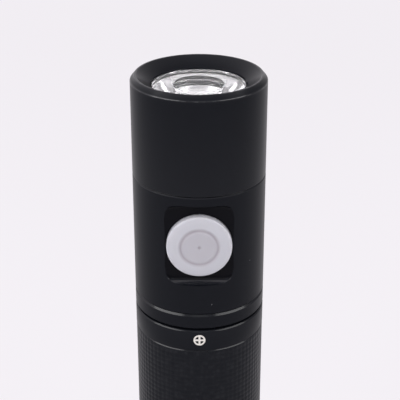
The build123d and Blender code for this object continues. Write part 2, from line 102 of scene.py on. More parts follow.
def softened(points: list[Point], radii: tuple[float, ...], steps: int = 6,
             margin: float = 0.25) -> tuple[Array, Array]:
    """Rounds the corners of a closed outline.

    Each corner P becomes the parabola (1-s)^2 A + 2s(1-s) P + s^2 B, where A and B lie on its two
    sides, a trim away from it. The normal at each point is the curve's direction turned by a right angle.
    One more point on each side, a margin beyond the trim, keeps what is marked at a corner near it.

    Args:
        points: the outline's (radius, height) corners, with the solid on the left of the way round.
        radii: the trim of each corner, limited to under half of its shorter side.
        steps: points on each rounded corner.
        margin: the way from a rounded corner to the extra points.

    Returns:
        The outline's points and its outward normals, both of shape (corners * (steps + 2), 2).
    """
    corner = np.array(points, float)
    before, after = np.roll(corner, 1, 0) - corner, np.roll(corner, -1, 0) - corner
    reach = np.minimum(np.linalg.norm(before, axis=1), np.linalg.norm(after, axis=1))
    trim = np.minimum(np.array(radii, float), TRIM_SHARE * reach)[:, None]
    wide = np.minimum(trim + margin, MARGIN_SHARE * reach[:, None])
    back, ahead = (side / np.linalg.norm(side, axis=1)[:, None] for side in (before, after))
    s = np.linspace(0, 1, steps)[None, :, None]
    a, p, b = (corner + back * trim)[:, None], corner[:, None], (corner + ahead * trim)[:, None]
    line = (1 - s) ** 2 * a + 2 * s * (1 - s) * p + s**2 * b
    along = (1 - s) * (p - a) + s * (b - p)
    line = np.concatenate([(corner + back * wide)[:, None], line, (corner + ahead * wide)[:, None]], 1)
    along = np.concatenate([along[:, :1], along, along[:, -1:]], 1)
    normal = np.stack([along[..., 1], -along[..., 0]], -1)
    normal /= np.linalg.norm(normal, axis=-1)[..., None]
    return line.reshape(-1, 2), normal.reshape(-1, 2)


def grid_faces(rows: int, columns: int, close_rows: bool, close_columns: bool) -> Array:
    """Quads between neighbouring points of a grid.

    Args:
        rows: points along the first parameter.
        columns: points along the second parameter.
        close_rows: joins the last row to the first.
        close_columns: joins the last column to the first.

    Returns:
        Vertex numbers of each quad, of shape (faces, 4).
    """
    i = np.arange(rows if close_rows else rows - 1)[:, None]
    j = np.arange(columns if close_columns else columns - 1)[None, :]
    i2, j2 = (i + 1) % rows, (j + 1) % columns
    corners = (i * columns + j, i * columns + j2, i2 * columns + j2, i2 * columns + j)
    return np.stack(np.broadcast_arrays(*corners), -1).reshape(-1, 4)


def carried(line: Array, segments: int) -> Array:
    """Carries an outline, or its normals, round the Z axis.

    A point (r, z) goes to (r cos t, r sin t, z) at each angle t.

    Args:
        line: (radius, height) of each row.
        segments: steps round the axis.

    Returns:
        Points of shape (rows * segments, 3).
    """
    t = np.linspace(0, 2 * np.pi, segments, endpoint=False)[None, :]
    level = np.broadcast_to(line[:, 1:], (len(line), segments))
    return np.stack([line[:, :1] * np.cos(t), line[:, :1] * np.sin(t), level], -1).reshape(-1, 3)


def read(items: bpy.types.bpy_prop_collection, name: str, width: int = 3, kind: type = np.float32) -> Array:
    """One property of all of a mesh's vertices, corners or faces.

    Args:
        items: the vertices, corners or faces.
        name: the property.
        width: how many numbers each one has.
        kind: the type of the numbers.

    Returns:
        An array with one entry, or one row, for each item.
    """
    values = np.zeros(len(items) * width, kind)
    items.foreach_get(name, values)
    return values.reshape(-1, width) if width > 1 else values


def placed(name: str, data: bpy.types.ID) -> Object:
    """Puts a mesh, a lamp or a camera into the scene as an object at the origin.

    Args:
        name: the object's name.
        data: what it shows.

    Returns:
        The new object.
    """
    made = bpy.data.objects.new(name, data)
    bpy.context.scene.collection.objects.link(made)
    return made


def made_mesh(name: str, points: Array, faces: Array, normals: Array | None, material: Material) -> Object:
    """Puts a worked-out surface into a mesh object at the origin.

    Args:
        name: the piece's name.
        points: vertices in millimetres, in the row's frame.
        faces: quads, in either direction.
        normals: outward vertex normals, or None to smooth between the faces.
        material: the piece's finish.

    Returns:
        The new object, linked to the scene.
    """
    a, b, c, d = (points[faces[:, k]] for k in range(4))
    volume = np.einsum("ij,ij->i", a, np.cross(b, c) + np.cross(c, d)).sum()
    if volume < 0:
        faces = faces[:, ::-1]
    mesh = bpy.data.meshes.new(name)
    mesh.vertices.add(len(points))
    mesh.vertices.foreach_set("co", (points * MM).astype(np.float32).ravel())
    mesh.loops.add(faces.size)
    mesh.loops.foreach_set("vertex_index", faces.astype(np.int32).ravel())
    mesh.polygons.add(len(faces))
    mesh.polygons.foreach_set("loop_start", np.arange(0, faces.size, 4, dtype=np.int32))
    mesh.update(calc_edges=True)
    mesh.validate()
    mesh.shade_smooth()
    mesh.materials.append(material)
    if normals is not None and len(mesh.vertices) == len(normals):
        mesh.normals_split_custom_set_from_vertices(normals.astype(np.float32).tolist())
    return placed(name, mesh)


def lathed(name: str, line: Array, normal: Array | None, segments: int, material: Material) -> Object:
    """Turns an outline round the Z axis into a piece.

    Args:
        name: the piece's name.
        line: (radius, height) points of the outline.
        normal: the normals of a closed outline, or None for one whose two ends lie on the axis.
        segments: steps round the axis.
        material: its finish.

    Returns:
        The new object.
    """
    faces = grid_faces(len(line), segments, normal is not None, True)
    normals = None if normal is None else carried(normal, segments)
    return made_mesh(name, carried(line, segments), faces, normals, material)


def seal_ring(name: str, node: str, material: Material) -> Object:
    """A round-section ring in the space of a CAD ring.

    Its section is the circle (R + s cos u, z + s sin u), where R and s come from the node's box.

    Args:
        name: the piece's name.
        node: the CAD ring.
        material: its finish.

    Returns:
        The new object.
    """
    low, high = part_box(node)
    section = 0.5 * (high.z - low.z) / MM
    ring, level = high.x / MM - section * (1 + SEAL_SLACK), 0.5 * (low.z + high.z) / MM
    u = np.linspace(0, 2 * np.pi, SEAL_SIDES, endpoint=False)
    normal = np.stack([np.cos(u), np.sin(u)], -1)
    return lathed(name, np.array([ring, level]) + section * normal, normal, SEAL_SEGMENTS, material)


def merge(mesh: Mesh, distance: float, remake: bool = False) -> None:
    """Merges a mesh's doubles.

    Args:
        mesh: the mesh to change.
        distance: how near in metres two points count as one.
        remake: also drops faces without area and turns all faces outward.
    """
    work = bmesh.new()
    work.from_mesh(mesh)
    bmesh.ops.remove_doubles(work, verts=work.verts, dist=distance)
    if remake:
        bmesh.ops.dissolve_degenerate(work, edges=work.edges, dist=0.1 * distance)
        bmesh.ops.recalc_face_normals(work, faces=work.faces)
    work.to_mesh(mesh)
    work.free()


def close_poles(piece: Object, crease: float) -> None:
    """Merges the points that meet on the axis and keeps edges sharp past an angle.

    Args:
        piece: a turned piece whose outline ends on its axis.
        crease: the least angle in degrees that stays sharp.
    """
    merge(piece.data, POLE_WELD, True)
    piece.data.shade_smooth()
    piece.data.set_sharp_from_angle(angle=math.radians(crease))


def smoothed_copy(name: str, node: str, material: Material, barrel_r: float, crease: float = 25.0) -> Object:
    """A copy of a CAD node whose facets shade as the smooth faces that they stand for.

    The copy's doubles are merged. Faces within a crease's angle share their normals, and every corner
    of a face on the barrel takes the barrel's own normal (x, y, 0) / r.

    Args:
        name: the piece's name.
        node: the CAD node to copy.
        material: its finish.
        barrel_r: radius of the barrel in millimetres.
        crease: the least angle in degrees that stays sharp.

    Returns:
        The new object.
    """
    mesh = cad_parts[node].data.copy()
    mesh.name = name
    merge(mesh, CAD_WELD)
    mesh.attributes.remove(mesh.attributes["custom_normal"])
    mesh.materials.clear()
    mesh.materials.append(material)
    mesh.shade_smooth()
    mesh.set_sharp_from_angle(angle=math.radians(crease))
    corner = read(mesh.corner_normals, "vector")
    place = read(mesh.vertices, "co")[read(mesh.loops, "vertex_index", 1, np.int32)]
    face = np.repeat(read(mesh.polygons, "normal"), read(mesh.polygons, "loop_total", 1, np.int32), axis=0)
    radius = np.linalg.norm(place[:, :2], axis=1)
    radial = np.concatenate([place[:, :2] / np.maximum(radius, 1e-9)[:, None], np.zeros((len(place), 1))], 1)
    near = np.abs(radius - barrel_r * MM) < ON_BARREL * MM
    on_barrel = near & ((face * radial).sum(1) > BARREL_FACING)
    corner[on_barrel] = radial[on_barrel]
    mesh.normals_split_custom_set(corner.tolist())
    return placed(name, mesh)


def ring_nearness(piece: Object, rings: list[Point], reach: float) -> Array:
    """How near each vertex is to given rings: 1 on a ring, falling straight to 0 at the reach.

    Args:
        piece: the piece whose vertices are measured.
        rings: (radius, height) of each ring.
        reach: the distance at which the value falls to nothing.

    Returns:
        One value for each vertex.
    """
    place = read(piece.data.vertices, "co") / MM
    flat = np.stack([np.hypot(place[:, 0], place[:, 1]), place[:, 2]], -1)
    away = np.linalg.norm(flat[:, None] - np.array(rings)[None], axis=2).min(1)
    return np.clip(1 - away / reach, 0, 1)


def write_mask(piece: Object, attribute: str, values: Array, domain: str = "POINT") -> None:
    """Stores one value for each vertex or face, for the finish to read."""
    entry = piece.data.attributes.new(attribute, "FLOAT", domain)
    entry.data.foreach_set("value", values.astype(np.float32).ravel())


def settle(piece: Object, body: Body, node: str = "") -> None:
    """Lets a piece ride on a body and stand for a CAD node.

    Args:
        piece: the finished piece.
        body: the body that it moves with.
        node: the CAD node that it stands for, or nothing.
    """
    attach(piece, body.value)
    if node:
        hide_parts(node)
    LOG.info("%s rides on %s with %d faces", piece.name, body.value, len(piece.data.polygons))


def settle_seals(rings: dict[str, str], body: Body, material: Material) -> None:
    """Builds seal rings, each given by its name and the CAD ring that it stands for."""
    for name, node in rings.items():
        settle(seal_ring(name, node, material), body, node)


# Nodes of the finishes and the studio


def new_material(label: str) -> Material:
    """A material with Blender's own first nodes.

    Args:
        label: its name.

    Returns:
        The new material.
    """
    made = bpy.data.materials.new(label)
    made.use_nodes = True
    return made


def found(tree: Tree, kind: str) -> Node:
    """The tree's first node of a type."""
    return next(node for node in tree.nodes if node.type == kind)


@dataclass
class Web:
    """Short calls that place and join nodes in one tree."""

    tree: Tree

    def join(self, source: Socket, target: Socket) -> None:
        """Links an output to an input."""
        self.tree.links.new(source, target)

    def node(self, kind: str, values: dict[str, object] | None = None, **settings: object) -> Node:
        """Adds a node.

        Args:
            kind: the node's type without the ShaderNode prefix.
            values: what goes into its input sockets, by name or number: a socket, or a constant.
            settings: its own settings.

        Returns:
            The new node.
        """
        made = self.tree.nodes.new("ShaderNode" + kind)
        for label, value in settings.items():
            setattr(made, label, value)
        for label, value in (values or {}).items():
            if isinstance(value, Socket):
                self.join(value, made.inputs[label])
            else:
                made.inputs[label].default_value = value
        return made

    def math(self, operation: str, first: object, second: object = 0.0, third: object = 0.0) -> Socket:
        """The output of one Math node."""
        return self.node("Math", {0: first, 1: second, 2: third}, operation=operation).outputs[0]

    def scaled(self, vector: Socket, factor: object) -> Socket:
        """A vector or colour times a factor."""
        return self.node("VectorMath", {0: vector, "Scale": factor}, operation="SCALE").outputs[0]

    def ramp(self, value: Socket, low: float, high: float) -> Socket:
        """A smooth step from 0 at low to 1 at high."""
        values = {"Value": value, "From Min": low, "From Max": high}
        return self.node("MapRange", values, interpolation_type="SMOOTHSTEP").outputs["Result"]

    def spread(self, value: Socket, low: float, high: float) -> Socket:
        """A value of 0 to 1 carried straight to low to high."""
        return self.node("MapRange", {"Value": value, "To Min": low, "To Max": high}).outputs["Result"]

    def noise(self, vector: Socket, scale: object, detail: float = 3.0, roughness: float = 0.5) -> Socket:
        """The value of a Noise node."""
        values = {"Vector": vector, "Scale": scale, "Detail": detail, "Roughness": roughness}
        return self.node("TexNoise", values).outputs[0]

    def mix(self, share: object, first: object, second: object) -> Socket:
        """A blend of two colours, each a socket or a constant."""
        first, second = (c if isinstance(c, Socket) else (*c, 1.0) for c in (first, second))
        return self.node("Mix", {0: share, 6: first, 7: second}, data_type="RGBA").outputs[2]

    def blend(self, share: Socket, first: Socket, second: Socket, end: str) -> None:
        """Joins a blend of two shaders to the tree's output node of a type."""
        mixed = self.node("MixShader", {0: share, 1: first, 2: second}).outputs[0]
        self.join(mixed, found(self.tree, end).inputs["Surface"])

    def mask(self, name: str) -> Socket:
        """A value that the piece's own mesh holds."""
        return self.node("Attribute", attribute_name=name).outputs["Fac"]


def new_group(name: str, inputs: dict[str, float], output: str) -> tuple[Web, Outputs, Socket]:
    """An empty shader group with a vector, named values and one value that it gives.

    Args:
        name: the group's name.
        inputs: each value input with its default.
        output: the name of its output.

    Returns:
        The group's web, what it is given and the socket that it fills.
    """
    tree = bpy.data.node_groups.new(name, "ShaderNodeTree")
    tree.interface.new_socket(name="Vector", in_out="INPUT", socket_type="NodeSocketVector")
    for label, value in inputs.items():
        made = tree.interface.new_socket(name=label, in_out="INPUT", socket_type="NodeSocketFloat")
        made.default_value = value
    tree.interface.new_socket(name=output, in_out="OUTPUT", socket_type="NodeSocketFloat")
    given = tree.nodes.new("NodeGroupInput").outputs
    return Web(tree), given, tree.nodes.new("NodeGroupOutput").inputs[output]


class Effects:
    """The shader groups that several finishes share, each built once.

    PATCH_NOISE and BREAK_NOISE are the detail and the roughness of those groups' own noise.
    """

    COARSE_SCALE = 0.28
    WOBBLES = 2600.0
    WOBBLE_REACH = 0.0005
    PATCH_NOISE = (4.0, 0.6)
    ALONG_BARREL = 0.12
    STREAK_SHARE = 0.35
    BREAK_NOISE = (4.0, 0.65)
    BREAK_EDGE = (0.42, 0.68)

    def __init__(self) -> None:
        """Builds every group."""
        self.blast = self._blast()
        self.dust = self._dust()
        self.mottle = self._mottle()
        self.edge = self._edge()

    def _blast(self) -> Tree:
        """Fine dimples of a blasted skin: cells and noise in one height.

        Returns:
            The group.
        """
        web, given, height = new_group("Blasted skin", {"Grain per metre": 9000.0, "Coarse": 0.35}, "Height")
        fine = web.node("TexVoronoi", {"Vector": given["Vector"], "Scale": given["Grain per metre"]})
        coarse = web.noise(given["Vector"], web.math("MULTIPLY", given["Grain per metre"], self.COARSE_SCALE))
        coarse = web.math("MULTIPLY", coarse, given["Coarse"])
        web.join(web.math("ADD", fine.outputs["Distance"], coarse), height)
        return web.tree

    def _dust(self) -> Tree:
        """Sparse specks: the middles of a few bent cells, chosen by each cell's own random colour.

        Returns:
            The group.
        """
        values = {"Specks per metre": 420.0, "Share": 0.04, "Size": 0.09}
        web, given, mask = new_group("Dust specks", values, "Mask")
        wobble = web.node("TexNoise", {"Vector": given["Vector"], "Scale": self.WOBBLES, "Detail": 1.0})
        small = web.scaled(wobble.outputs["Color"], self.WOBBLE_REACH)
        bent = web.node("VectorMath", {0: given["Vector"], 1: small}, operation="ADD").outputs[0]
        cells = web.node("TexVoronoi", {"Vector": bent, "Scale": given["Specks per metre"]}).outputs
        lot = web.node("SeparateColor", {0: cells["Color"]}).outputs[0]
        chosen = web.math("LESS_THAN", lot, given["Share"])
        near = web.math("LESS_THAN", cells["Distance"], given["Size"])
        web.join(web.math("MULTIPLY", chosen, near), mask)
        return web.tree

    def _mottle(self) -> Tree:
        """Broad soft patches, as handling leaves them: two noises, one stretched along the barrel.

        Returns:
            The group.
        """
        values = {"Patches per metre": 90.0, "Streaks per metre": 420.0}
        web, given, value = new_group("Handling patches", values, "Value")
        broad = web.noise(given["Vector"], given["Patches per metre"], *self.PATCH_NOISE)
        stretch = {"Vector": given["Vector"], "Scale": (1.0, 1.0, self.ALONG_BARREL)}
        streak = web.noise(web.node("Mapping", stretch).outputs[0], given["Streaks per metre"], 2.0)
        broad = web.math("MULTIPLY", broad, 1.0 - self.STREAK_SHARE)
        web.join(web.math("MULTIPLY_ADD", streak, self.STREAK_SHARE, broad), value)
        return web.tree

    def _edge(self) -> Tree:
        """Wear where the skin turns: a piece's edge mask, broken up by noise.

        Returns:
            The group.
        """
        values = {"Mask": 0.0, "Breaks per metre": 900.0, "Amount": 0.5}
        web, given, mask = new_group("Edge wear", values, "Mask")
        breaks = web.noise(given["Vector"], given["Breaks per metre"], *self.BREAK_NOISE)
        broken = web.ramp(breaks, *self.BREAK_EDGE)
        worn = web.math("MULTIPLY", web.math("MULTIPLY", given["Mask"], broken), given["Amount"])
        web.join(worn, mask)
        return web.tree


@dataclass
class Coat(Web):
    """The web of one material, with its shader, the shared groups and the piece's own coordinates."""

    shader: Node
    effects: Effects
    place: Socket = field(init=False)

    def __post_init__(self) -> None:
        """Adds the coordinates."""
        self.place = self.node("TexCoord").outputs["Object"]

    def call(self, tree: Tree, **values: object) -> Socket:
        """Places a shared group with this finish's own values.

        Args:
            tree: the group.
            values: its inputs, with underscores for spaces.

        Returns:
            The group's output.
        """
        given = {label.replace("_", " "): value for label, value in values.items()}
        return self.node("Group", {"Vector": self.place, **given}, node_tree=tree).outputs[0]

    def feed(self, label: str, value: Socket) -> None:
        """Joins a value to the shader's input of that name."""
        self.join(value, self.shader.inputs[label])

    def fix(self, **values: object) -> None:
        """Sets constants of the shader, named with underscores for spaces."""
        for label, value in values.items():
            self.shader.inputs[label.replace("_", " ")].default_value = value

    def bump(self, height: Socket, strength: float, distance: float) -> None:
        """Feeds a height into the shader's normal."""
        values = {"Height": height, "Strength": strength, "Distance": distance}
        self.feed("Normal", self.node("Bump", values).outputs[0])


# Finishes


class Finish:
    """What every finish shares: a material whose Principled shader its own nodes feed."""

    label: str = "finish"

    def build(self, effects: Effects) -> Material:
        """Builds the material.

        Args:
            effects: the shared shader groups.

        Returns:
            The material.
        """
        made = new_material(self.label)
        self.lay(Coat(made.node_tree, found(made.node_tree, "BSDF_PRINCIPLED"), effects))
        return made

    def lay(self, coat: Coat) -> None:
        """Joins the finish's own nodes to the shader."""
        raise NotImplementedError


@dataclass(frozen=True)
class Plain(Finish):
    """An opaque surface of one colour, with its own patches, dust and grain.

    The dust is its cells per metre, the share of them that hold a speck and a speck's size in its cell.
    """

    label: str = "plain"
    colour: Colour = (0.5, 0.5, 0.5)
    other: Colour = (0.4, 0.4, 0.4)
    roughness: float = 0.5
    metallic: float = 0.0
    grain: float = 5000.0
    depth: float = 0.000006
    streaks: float = 420.0
    patches: float = 240.0
    roughness_play: Span = (-0.06, 0.1)
    dust: Dust = (420.0, 0.02, 0.06)
    dust_colour: Colour | None = None
    grain_strength: float = 0.4
    speck_share: float = 0.5
    speck_lift: float = 0.15

    def marked(self, coat: Coat, colour: Socket) -> Socket:
        """The colour with what only this finish shows; here nothing."""
        return colour

    def lay(self, coat: Coat) -> None:
        """Joins patches, dust and grain to the shader.

        Args:
            coat: the material's web.
        """
        mottle = coat.effects.mottle
        patches = coat.call(mottle, Patches_per_metre=self.patches, Streaks_per_metre=self.streaks)
        colour = self.marked(coat, coat.mix(patches, self.colour, self.other))
        per_metre, share, size = self.dust
        specks = coat.call(coat.effects.dust, Specks_per_metre=per_metre, Share=share, Size=size)
        speck = self.dust_colour or tuple(self.speck_share * c + self.speck_lift for c in self.colour)
        coat.feed("Base Color", coat.mix(specks, colour, speck))
        coat.feed("Roughness", coat.spread(patches, *(self.roughness + play for play in self.roughness_play)))
        coat.fix(Metallic=self.metallic)
        grain = coat.call(coat.effects.blast, Grain_per_metre=self.grain)
        coat.bump(grain, self.grain_strength, self.depth)


@dataclass(frozen=True)
class Metal(Plain):
    """A plated or turned metal, with fine streaks."""

    metallic: float = 1.0
    grain: float = 7000.0
    depth: float = 0.000002
    streaks: float = 1500.0


@dataclass(frozen=True)
class Anodising(Plain):
    """Hard black anodising over a finely blasted skin."""

    label: str = "black anodising"
    colour: Colour = (0.0052, 0.0057, 0.0080)
    other: Colour = (0.00702, 0.007695, 0.0108)
    roughness: float = 0.29
    grain: float = 9000.0
    depth: float = 0.000004
    patches: float = 90.0
    roughness_play: Span = (-0.02, 0.03)
    dust: Dust = (420.0, 0.10, 0.035)
    dust_colour: Colour | None = (0.16, 0.16, 0.17)
    grain_strength: float = 0.35
    # painted shade: the darker colour of the switch pocket's recess
    pocket_shade_colour: Colour = (0.0022, 0.0022, 0.0038)
    worn_colour: Colour = (0.13, 0.13, 0.14)
    specular: float = 0.10
    line_roughness: float = 0.14
    edge_mask: bool = False
    line_mask: bool = False
    pocket_shade_mask: bool = False

    def marked(self, coat: Coat, colour: Socket) -> Socket:
        """The colour with worn edges and painted shade that darkens the pocket, where the piece has them.

        Args:
            coat: the material's web.
            colour: the colour so far.

        Returns:
            The marked colour.
        """
        if self.edge_mask:
            worn = coat.call(coat.effects.edge, Mask=coat.mask("edge"))
            colour = coat.mix(worn, colour, self.worn_colour)
        if self.pocket_shade_mask:
            # painted shade darkens the pocket
            colour = coat.mix(coat.mask("pocket"), colour, self.pocket_shade_colour)
        return colour

    def lay(self, coat: Coat) -> None:
        """Joins the skin and its smooth-cut lines to the shader.

        Args:
            coat: the material's web.
        """
        super().lay(coat)
        coat.fix(Specular_IOR_Level=self.specular)
        if self.line_mask:
            coat.feed("Coat Weight", coat.mask("line"))
            coat.fix(Coat_Roughness=self.line_roughness)


@dataclass(frozen=True)
class Silicone(Plain):
    """Milky moulded silicone of the push button."""

    label: str = "white silicone"
    colour: Colour = (0.520, 0.512, 0.556)
    other: Colour = (0.4888, 0.48128, 0.52264)
    grain: float = 6000.0
    depth: float = 0.000004
    patches: float = 260.0
    roughness_play: Span = (-0.06, 0.08)
    dust: Dust = (520.0, 0.06, 0.045)
    dust_colour: Colour | None = (0.30, 0.29, 0.31)
    grain_strength: float = 0.2
    # painted shade: the darker colour of the button's ring groove, centre dimple and inner disc
    painted_shade: Colour = (0.37, 0.338, 0.375)
    milk: float = 0.7
    milk_radius: Colour = (1.0, 0.95, 0.9)
    milk_depth: float = 0.0012

    def marked(self, coat: Coat, colour: Socket) -> Socket:
        """The colour with painted shade in the ring groove, the centre dimple and the disc inside the ring.
        """
        return coat.mix(coat.mask("edge"), colour, self.painted_shade)

    def lay(self, coat: Coat) -> None:
        """Joins the skin to the shader, and lets light a little way in.

        Args:
            coat: the material's web.
        """
        super().lay(coat)
        coat.fix(Subsurface_Weight=self.milk)
        coat.fix(Subsurface_Radius=self.milk_radius, Subsurface_Scale=self.milk_depth)


@dataclass(frozen=True)
class Clear(Finish):
    """Clear moulded plastic, with a faint haze."""

    label: str = "clear optic plastic"
    colour: Colour = (0.995, 0.995, 1.0)
    other: Colour = (0.97, 0.975, 0.98)
    ior: float = 1.49
    roughness: Span = (0.03, 0.08)
    clearness: float = 0.92
    patches: float = 180.0
    ripples: float = 240.0
    ripple_strength: float = 0.25
    ripple_depth: float = 0.00002

    def lay(self, coat: Coat) -> None:
        """Joins patches and a moulded ripple to the shader.

        Args:
            coat: the material's web.
        """
        patches = coat.call(coat.effects.mottle, Patches_per_metre=self.patches)
        coat.feed("Base Color", coat.mix(patches, self.colour, self.other))
        coat.feed("Roughness", coat.spread(patches, *self.roughness))
        coat.fix(Transmission_Weight=self.clearness, IOR=self.ior)
        coat.bump(coat.noise(coat.place, self.ripples, 2.0), self.ripple_strength, self.ripple_depth)


@dataclass(frozen=True)
class Phosphor(Finish):
    """The die's yellow phosphor, with a fine grid of bond lines."""

    label: str = "phosphor"
    colour: Colour = (0.83, 0.72, 0.16)
    other: Colour = (0.75, 0.62, 0.10)
    line: Colour = (0.62, 0.52, 0.12)
    roughness: float = 0.55
    patches: float = 2000.0
    bricks: float = 900.0
    line_width: float = 0.03
    line_strength: float = 0.3
    line_depth: float = 0.00001

    def lay(self, coat: Coat) -> None:
        """Joins patches and the grid to the shader.

        Args:
            coat: the material's web.
        """
        values = {"Vector": coat.place, "Scale": self.bricks, "Mortar Size": self.line_width}
        grid = coat.node("TexBrick", values, offset=0.0).outputs["Fac"]
        patches = coat.call(coat.effects.mottle, Patches_per_metre=self.patches)
        coat.feed("Base Color", coat.mix(grid, coat.mix(patches, self.colour, self.other), self.line))
        coat.fix(Roughness=self.roughness)
        coat.bump(grid, self.line_strength, self.line_depth)


FINISHES: dict[str, Finish] = {
    "anodised": Anodising(),
    "turned": Anodising(label="black anodising with worn edges", edge_mask=True, line_mask=True),
    # the housing's finish, with painted shade in its pocket
    "pocketed": Anodising(label="black anodising with painted pocket shade", line_mask=True, pocket_shade_mask=True),
    "silicone": Silicone(),
    "optic": Clear(),
    "dome": Clear("clear dome", (0.98, 0.97, 0.9), (0.95, 0.94, 0.88), 1.41, (0.01, 0.03), 1.0),
    "seal": Plain("greased rubber", (0.012, 0.012, 0.013), (0.02, 0.02, 0.02), 0.32),
    "holder": Plain("metallised moulding", (0.95, 0.95, 0.94), (0.90, 0.90, 0.89), 0.3, 0.85),
    "phosphor": Phosphor(),
    "ceramic": Plain("ceramic", (0.80, 0.80, 0.77), (0.72, 0.72, 0.70), 0.4),
    "white_board": Plain("white board", (0.72, 0.73, 0.72), (0.62, 0.63, 0.62), 0.4),
    "green_board": Plain("green board", (0.012, 0.10, 0.035), (0.01, 0.06, 0.02), 0.35),
    "steel": Metal("plated steel", (0.62, 0.62, 0.64), (0.50, 0.50, 0.52), 0.28),
    "brass": Metal("turned brass", (0.78, 0.58, 0.28), (0.62, 0.45, 0.20), 0.3, streaks=1800.0),
    "gold": Metal("gold plating", (0.85, 0.65, 0.30), (0.75, 0.55, 0.22), 0.25, depth=0.000001),
    "black_plastic": Plain("black moulding", (0.02, 0.02, 0.021), (0.03, 0.03, 0.03), 0.45),
    "red_sleeve": Plain("red sleeve", (0.45, 0.02, 0.015), (0.36, 0.02, 0.015), 0.42),
    "ferrite": Plain("ferrite", (0.06, 0.06, 0.065), (0.09, 0.09, 0.09), 0.55, 0.0, 3000.0, 0.00001),
    "tan": Plain("tan ceramic", (0.42, 0.27, 0.15), (0.34, 0.21, 0.12), 0.45),
    "sleeve": Plain("blue cell sleeve", (0.02, 0.10, 0.30), (0.02, 0.07, 0.24), 0.3),
    "card": Plain("white card", (0.74, 0.73, 0.69), (0.66, 0.65, 0.61), 0.7),
    "print": Plain("white print", (0.74, 0.70, 0.66), (0.62, 0.58, 0.55), 0.55, 0.0, 8000.0, 0.000002),
}

INNER_NODES: dict[str, tuple[str, ...]] = {
    "holder": ("optic_holder",),
    "phosphor": ("led_emitter",),
    "ceramic": ("led_package", "indicator_leds"),
    "white_board": ("led_board",),
    "green_board": ("switch_board", "driver_board", "tail_board"),
    "steel": ("led_board_screws", "cell_terminal", "tail_magnet"),
    "brass": ("switch_retainer", "driver_retainer", "contact_post", "tail_retainer"),
    "silicone": ("button_flange",),
    "black_plastic": ("tact_switch", "tact_plunger", "driver_chip"),
    "red_sleeve": ("switch_leads", "led_leads"),
    "ferrite": ("driver_inductor",),
    "tan": ("driver_capacitors",),
    "sleeve": ("cell_can",),
    "card": ("cell_insulator",),
}


# Pieces


@dataclass
class Barrel:
    """Sizes that the head, the tube and the tail share, read from the frame where it holds them."""

    radius: float = field(init=False)
    nose: float = field(init=False)
    segments: int = 312

    def __post_init__(self) -> None:
        """Reads the barrel's radius and the light's length."""
        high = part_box("bezel")[1]
        self.radius = high.x / MM
        self.nose = high.z / MM


